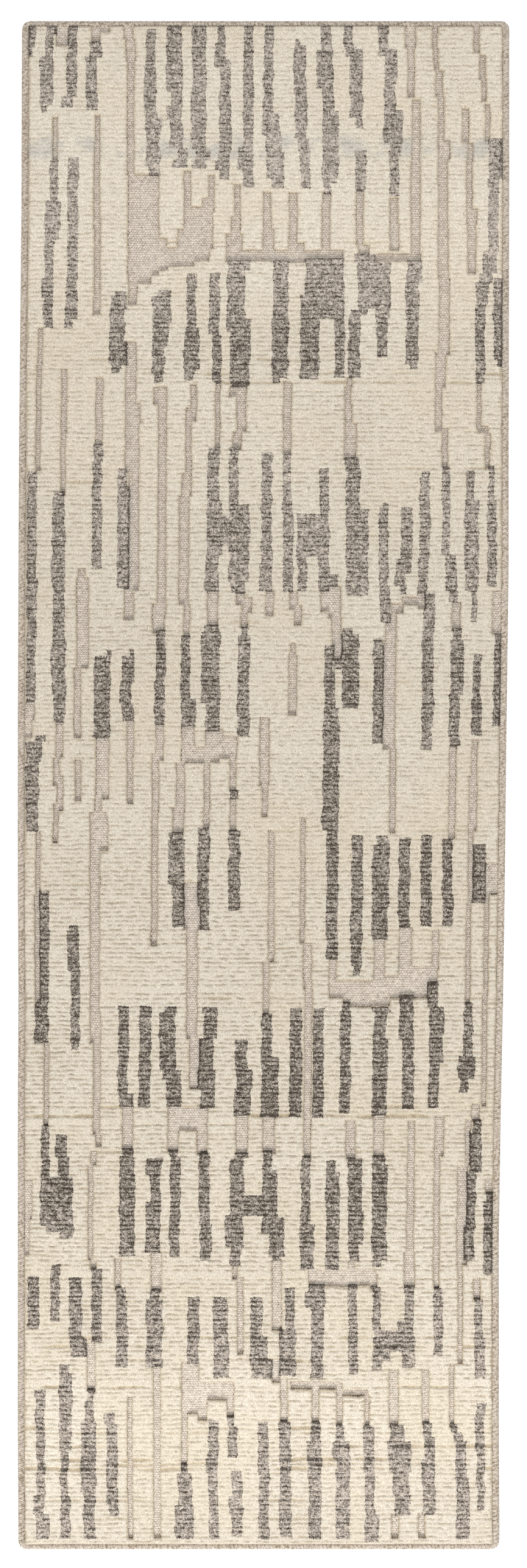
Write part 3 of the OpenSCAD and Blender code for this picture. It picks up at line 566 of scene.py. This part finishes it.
# ---------------------------------------------------------------------------------------------------
# Flat weave
# The channels and patches are taupe wool plaited flat round the warps, with no pile: short slanting
# stitches in staggered rows, each row slanting against the last, half as high as a row of knots.
# ---------------------------------------------------------------------------------------------------
stitch_rows = 2 * rows_of_knots
stitches_to_a_row = 176
stitch_length = 0.0038
stitch_width = 0.0024
stitch_slant = math.radians(32)
stitch_play = 0.0003                # how far a stitch strays from its place
stitch_bed = 0.0002                 # how far it sinks into the warps
weave_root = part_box("flatweave_1")[0].z
weave_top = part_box("flatweave_1")[1].z

# One stitch, as a low rounded loop
bpy.ops.object.select_all(action="DESELECT")
bpy.ops.mesh.primitive_cone_add(vertices=5, radius1=1.0, radius2=0.92, depth=0.5, location=(0, 0, 0.25))
stitch = bpy.context.object
bpy.ops.object.transform_apply(location=True)
bpy.ops.object.mode_set(mode="EDIT")
bpy.ops.mesh.select_mode(type="FACE")
bpy.ops.mesh.select_all(action="DESELECT")
bpy.ops.object.mode_set(mode="OBJECT")
for face in stitch.data.polygons:
    face.select = face.normal.z > 0.9
bpy.ops.object.mode_set(mode="EDIT")
bpy.ops.mesh.poke()
bpy.ops.object.mode_set(mode="OBJECT")
top_point = min(stitch.data.vertices, key=lambda v: abs(v.co.x) + abs(v.co.y))
top_point.co = (0.0, 0.0, 1.0)
stitch_corners = np.array([v.co for v in stitch.data.vertices])
stitch_loops = np.array([i for face in stitch.data.polygons for i in face.vertices])
stitch_sizes = np.array([len(face.vertices) for face in stitch.data.polygons])
bpy.data.objects.remove(stitch)

# The stitches run on by one cell of the mesh under the pile all round a channel
plaited = np.where(is_pile, -1, owner)
for step, axis in ((1, 1), (-1, 1), (1, 0), (-1, 0)):
    plaited = np.where(plaited < 0, np.roll(plaited, step, axis=axis), plaited)
plaits = {name: [] for name in surface_nodes if name.startswith("flatweave")}
for row in range(stitch_rows):
    y = back_ys[-1] - (row + 0.5) * row_pitch / 2
    left, right = field_edges(y)
    for stitch_number in range(stitches_to_a_row):
        share = (stitch_number + (0.25 if row % 2 else 0.75)) / stitches_to_a_row
        number = plaited[row * lines_to_a_row // 2 + 1, int(share * columns)]
        if number >= 0:
            plaits[surface_nodes[number]].append((left + (right - left) * share, y, row))

# Taupe wool with brown flecks. Painted shade makes it pale where the stitches stand up and brown in
# between
taupe_wool, shader, shade = wool("taupe_wool")
place = shade.node("ShaderNodeTexCoord", output=3)
height = shade.node("ShaderNodeSeparateXYZ", {}, {"Vector": place}, output=2)
luck = shade.node("ShaderNodeAttribute", {"attribute_name": "knot_chance"}, output=2)
tip = height.between(weave_root + 0.0002, weave_top - 0.0006)
fibre = spots(shade, place, 1000.0, 2.0, 0.6)
fleck = spots(shade, place, 260.0, 2.0, 0.6)
# Painted shade: brown low between the stitches, pale at their tops
body = tip.blend((0.36, 0.295, 0.235, 1.0), (0.705, 0.635, 0.555, 1.0))
body = (fleck.between(0.52, 0.68) * 0.4).blend(body, (0.46, 0.375, 0.305, 1.0))
row = shade.node("ShaderNodeAttribute", {"attribute_name": "chart_row"}, output=2)
# A brightness that changes along the rug: a little darker past row 40, lighter in the bottom rows
row_brightness = 1.0 - row.between(40.0, 100.0) * 0.07 + row.between(230.0, 320.0) * 0.16
light = (0.76 + luck * 0.22 + (fibre - 0.5) * 0.85) * row_brightness
finish_wool(shade, shader, light.dim(body), fibre + fleck, 0.0004)

for name, found in plaits.items():
    x, y, row = np.array(found).T
    count = len(found)
    slant = np.where(row % 2 > 0.5, stitch_slant, -stitch_slant) + chance.uniform(-0.2, 0.2, count)
    px, py, pz = stitch_corners.T
    long = (stitch_length * chance.uniform(0.9, 1.15, count))[:, None] * px
    wide = (stitch_width * chance.uniform(0.9, 1.15, count))[:, None] * py
    cosine, sine = np.cos(slant)[:, None], np.sin(slant)[:, None]
    corners = np.empty((count, len(stitch_corners), 3))
    x = x + chance.uniform(-stitch_play, stitch_play, count)
    corners[..., 0] = x[:, None] + long * cosine - wide * sine
    y = y + chance.uniform(-stitch_play, stitch_play, count)
    corners[..., 1] = y[:, None] + long * sine + wide * cosine
    tall = (weave_top - weave_root) * chance.uniform(0.85, 1.1, count)
    corners[..., 2] = weave_root - stitch_bed + pz[None, :] * tall[:, None]
    loops = stitch_loops + np.arange(count)[:, None] * len(stitch_corners)
    sizes = np.tile(stitch_sizes, count)
    piece = new_piece(
        name.replace("flatweave", "plaited_stitches"), corners.reshape(-1, 3), loops.ravel(), sizes,
        np.ones(len(sizes), bool),
        {"knot_chance": np.repeat(chance.uniform(0.0, 1.0, count), len(stitch_corners)),
         "chart_row": np.repeat(row / 2, len(stitch_corners))}
    )
    piece.data.materials.append(taupe_wool)
    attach(piece, "root")
    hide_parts(name)


# ---------------------------------------------------------------------------------------------------
# Warps and wefts
# The cotton foundation: pairs of twisted warps from end to end, and a weft beaten down after each row
# of knots. It is packed between the knots, and only a glint of it shows in the flat weave.
# ---------------------------------------------------------------------------------------------------
cotton, shader, shade = wool("cotton", roughness=0.85)
place = shade.node("ShaderNodeTexCoord", output=3)
twist = shade.node(
    "ShaderNodeTexWave", {"wave_type": "BANDS", "bands_direction": "DIAGONAL"},
    {"Vector": place, "Scale": 260.0, "Distortion": 1.0, "Detail": 1.0}, output=1
)
lint = spots(shade, place, 900.0)
# Painted shade in the grooves of the twist
colour = (twist * 0.6 + lint * 0.4).blend((0.42, 0.37, 0.29, 1.0), (0.76, 0.71, 0.60, 1.0))
finish_wool(shade, shader, colour, twist + lint * 0.5, 0.0003)
for name in ("upper_warps", "weft_picks", "lower_warps"):
    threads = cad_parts[name]
    threads.data.materials.clear()
    threads.data.materials.append(cotton)


# ---------------------------------------------------------------------------------------------------
# Woven back
# The underside is the backs of the knots: a firm cloth, ribbed from side to side, one rib to each row
# of knots, with the collar of every knot showing as a small bead on the rib.
# ---------------------------------------------------------------------------------------------------
back_low, back_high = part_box("woven_back")
rib_depth = 0.00045
rib_play = 0.0001                   # how uneven the ribs are
rib_columns = 56
rib_lines = 2 * rows_of_knots       # a ridge and a groove to each row of knots

line_y = np.linspace(back_high.y, back_low.y, rib_lines + 1)
edge_left, edge_right = field_edges(line_y)
across = np.linspace(0.0, 1.0, rib_columns + 1)
grid_x = edge_left[:, None] + (edge_right - edge_left)[:, None] * across
grid_y = np.repeat(line_y[:, None], rib_columns + 1, axis=1)
groove = (np.arange(rib_lines + 1) % 2 == 0)[:, None]
grid_z = np.where(groove, rib_depth, 0.0) + chance.uniform(0.0, rib_play, grid_x.shape)

# The ribbed underside, a rim round it and a flat top against the foundation, as one closed sheet
under = np.stack([grid_x, grid_y, grid_z], axis=-1).reshape(-1, 3)
width = rib_columns + 1
first = (np.arange(rib_lines)[:, None] * width + np.arange(rib_columns)).reshape(-1)
under_faces = np.stack([first, first + 1, first + width + 1, first + width], axis=1)
rim = np.concatenate([
    np.arange(width), np.arange(2 * width - 1, (rib_lines + 1) * width, width),
    np.arange((rib_lines + 1) * width - 2, rib_lines * width - 1, -1),
    np.arange((rib_lines - 1) * width, 0, -width)
])
top_rim = under[rim].copy()
top_rim[:, 2] = back_high.z
back_mesh = bpy.data.meshes.new("woven_back_cloth")
upper = len(under) + np.arange(len(rim))
wall = [
    [int(rim[i]), int(upper[i]), int(upper[(i + 1) % len(rim)]), int(rim[(i + 1) % len(rim)])]
    for i in range(len(rim))
]
back_mesh.from_pydata(
    np.concatenate([under, top_rim]).tolist(), [],
    under_faces.tolist() + wall + [[int(i) for i in upper[::-1]]]
)
back_mesh.update()
back_cloth = bpy.data.objects.new("woven_back_cloth", back_mesh)
bpy.context.scene.collection.objects.link(back_cloth)

knot_backs, shader, shade = wool("knot_backs")
place = shade.node("ShaderNodeTexCoord", output=3)
bead = shade.node(
    "ShaderNodeTexVoronoi", {}, {"Vector": place, "Scale": 250.0, "Randomness": 0.35}
)
lint = spots(shade, place, 700.0)
patch = spots(shade, place, 30.0, 4.0)
# Painted shade in the hollows between the beads, pale on the beads
colour = bead.between(0.1, 0.75).blend((0.72, 0.65, 0.54, 1.0), (0.33, 0.27, 0.20, 1.0))
colour = (patch.between(0.5, 0.62) * 0.5).blend(colour, (0.40, 0.35, 0.29, 1.0))
finish_wool(shade, shader, (0.75 + lint * 0.5).dim(colour), lint - bead, 0.0005)
back_mesh.materials.append(knot_backs)
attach(back_cloth, "root")
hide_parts("woven_back")


# ---------------------------------------------------------------------------------------------------
# Overcasting and the cords inside it
# The edges are bound by hand: a bundle of warps runs along the edge, and a double strand of taupe wool
# is wound round it without a break, stitch beside stitch, each turn slanting a little.
# ---------------------------------------------------------------------------------------------------
side_binding = back_low.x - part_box("overcast_left")[0].x
end_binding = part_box("overcast_top")[1].y - back_high.y
binding_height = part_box("overcast_left")[1].z
corner_radius = 0.014
corner_steps = 8                    # straight lengths in half of a corner
corner_reach = 0.03                 # bends of a side nearer to its end than this are left out
overlap = 0.0025                    # how far the stitches reach in over the pile's edge
strand = 0.0015                     # half the thickness of one strand
strand_spread = 1.35                # how much wider than thick it lies
strand_pitch = 0.00315
strand_shift = 0.00028              # the two strands of a stitch lean to each other by this much
strand_play = 0.00022               # and each turn strays by up to this much
wrap_steps = 8                      # corners in one turn round the edge
strand_sides = 5
wrap_slant = math.tan(math.radians(30))
bundle_sides = 10
bundle_step = 0.02


def binding_line(side):
    """The middle of the roll on one side: points, outward directions and half widths."""
    left, right = field_edges(back_ys)
    top_left = (left[-1] - side_binding + corner_radius, cad_high.y - corner_radius)
    top_right = (right[-1] + side_binding - corner_radius, cad_high.y - corner_radius)
    low_left = (left[0] - side_binding + corner_radius, cad_low.y + corner_radius)
    low_right = (right[0] + side_binding - corner_radius, cad_low.y + corner_radius)
    run = {
        "left": (top_left, 135, 180, low_left, 180, 225),
        "right": (low_right, -45, 0, top_right, 0, 45),
        "top": (top_right, 45, 90, top_left, 90, 135),
        "bottom": (low_left, 225, 270, low_right, 270, 315),
    }[side]
    half_straight = (side_binding if side in ("left", "right") else end_binding) / 2
    half_mitre = (side_binding + end_binding) / 4
    points, outward, half = [], [], []

    def corner(centre, start, end, arriving):
        """Half of a rounded corner, where the roll's width changes to that of the next side."""
        for i in range(corner_steps + 1):
            part = i / corner_steps
            angle = math.radians(start + (end - start) * part)
            way = np.array((math.cos(angle), math.sin(angle)))
            share = 1 - part if arriving else part
            half_width = half_straight + (half_mitre - half_straight) * share
            points.append(np.array(centre) + way * (corner_radius - half_width))
            outward.append(way)
            half.append(half_width)

    corner(run[0], run[1], run[2], True)
    if side in ("left", "right"):
        inner = back_ys[(back_ys > cad_low.y + corner_reach) & (back_ys < cad_high.y - corner_reach)]
        inner = inner[::-1] if side == "left" else inner
        edges = field_edges(inner)
        sign = -1 if side == "left" else 1
        for y, x in zip(inner, edges[0] if side == "left" else edges[1]):
            points.append(np.array((x + sign * half_straight, y)))
            outward.append(np.array((float(sign), 0.0)))
            half.append(half_straight)
    corner(run[3], run[4], run[5], False)
    return np.array(points), np.array(outward), np.array(half)


def tube(name, path, flat_way, sides, radius, spread=1.0):
    """A closed tube along a path of points, wider than thick along flat_way."""
    ahead = np.gradient(path, axis=0)
    ahead /= np.linalg.norm(ahead, axis=1)[:, None]
    broad = flat_way - ahead * (flat_way * ahead).sum(axis=1)[:, None]
    broad /= np.linalg.norm(broad, axis=1)[:, None]
    up = np.cross(broad, ahead)
    angle = np.arange(sides) / sides * 2 * math.pi
    ring = broad[:, None] * np.cos(angle)[None, :, None] * spread
    ring = ring + up[:, None] * np.sin(angle)[None, :, None]
    points = (path[:, None] + ring * radius).reshape(-1, 3)
    turn = np.arange(sides)
    base = np.arange(len(path) - 1)[:, None] * sides
    a, b = base + turn, base + (turn + 1) % sides
    faces = np.stack([a, a + sides, b + sides, b], axis=-1).reshape(-1, 4).tolist()
    faces += [turn.tolist(), ((len(path) - 1) * sides + turn[::-1]).tolist()]
    mesh = bpy.data.meshes.new(name)
    mesh.from_pydata(points.tolist(), [], faces)
    mesh.polygons.foreach_set("use_smooth", np.ones(len(faces), bool))
    mesh.update()
    obj = bpy.data.objects.new(name, mesh)
    bpy.context.scene.collection.objects.link(obj)
    return obj


# Taupe wool with dark flecks for the stitches, and the brown warps inside them
edge_wool, shader, shade = wool("edge_wool")
place = shade.node("ShaderNodeTexCoord", output=3)
fibre = spots(shade, place, 900.0, 2.0, 0.6)
fleck = spots(shade, place, 240.0, 2.0, 0.6)
tint = spots(shade, place, 35.0, 2.0, 0.5)
body = fleck.between(0.40, 0.65).blend((0.55, 0.485, 0.415, 1.0), (0.29, 0.235, 0.18, 1.0))
body = (tint.between(0.45, 0.6) * 0.35).blend(body, (0.54, 0.49, 0.43, 1.0))
finish_wool(shade, shader, (0.72 + fibre * 0.56).dim(body), fibre + fleck, 0.0005)

edge_cord, shader, shade = wool("edge_cord")
place = shade.node("ShaderNodeTexCoord", output=3)
lint = spots(shade, place, 500.0)
strands = spots(shade, place, 300.0, 1.0, 0.5, (4.0, 0.3, 4.0))
colour = (lint * 0.5 + strands * 0.5).blend((0.22, 0.17, 0.12, 1.0), (0.50, 0.43, 0.34, 1.0))
finish_wool(shade, shader, colour, lint + strands, 0.0004)

cords = {
    "left": "side_cord_left", "right": "side_cord_right",
    "top": "end_cord_top", "bottom": "end_cord_bottom"
}
for side, cord_node in cords.items():
    points, outward, half = binding_line(side)
    length = np.concatenate([[0], np.cumsum(np.linalg.norm(np.diff(points, axis=0), axis=1))])
    turns = int(length[-1] / strand_pitch)
    theta = np.arange(turns * wrap_steps + 1) / wrap_steps * 2 * math.pi
    swing, lift = np.cos(theta), np.sin(theta)
    along = theta / (2 * math.pi) * length[-1] / turns
    pair = np.where((theta / (2 * math.pi)) % 2 < 1, strand_shift, -strand_shift)
    stray = chance.uniform(-strand_play, strand_play, turns + 2)[(theta / (2 * math.pi)).astype(int)]
    reach = np.interp(along, length, half) + overlap / 2 - strand
    at = np.clip(along + pair + stray + wrap_slant * swing * reach, 0.0, length[-1])
    cx = np.interp(at, length, points[:, 0])
    cy = np.interp(at, length, points[:, 1])
    ox = np.interp(at, length, outward[:, 0])
    oy = np.interp(at, length, outward[:, 1])
    size = np.hypot(ox, oy)
    rise = binding_height / 2 - strand
    ox, oy = ox / size, oy / size
    out_by = swing * reach - overlap / 2
    path = np.stack([cx + ox * out_by, cy + oy * out_by, binding_height / 2 + lift * rise], axis=1)
    along_edge = np.stack([-oy, ox, np.zeros(len(path))], axis=1)
    wraps = tube("overcasting_" + side, path, along_edge, strand_sides, strand, strand_spread)
    wraps.data.materials.append(edge_wool)
    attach(wraps, "root")
    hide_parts("overcast_" + side)

    steps = np.linspace(0.0, length[-1], int(length[-1] / bundle_step))
    core = np.stack([
        np.interp(steps, length, points[:, 0]), np.interp(steps, length, points[:, 1]),
        np.full(len(steps), binding_height / 2)
    ], axis=1)
    upright = np.tile((0.0, 0.0, 1.0), (len(core), 1))
    thickness = half[corner_steps // 2] - 2.0 * strand
    bundle = tube("warp_bundle_" + side, core, upright, bundle_sides, thickness)
    bundle.data.materials.append(edge_cord)
    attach(bundle, "root")
    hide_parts(cord_node)
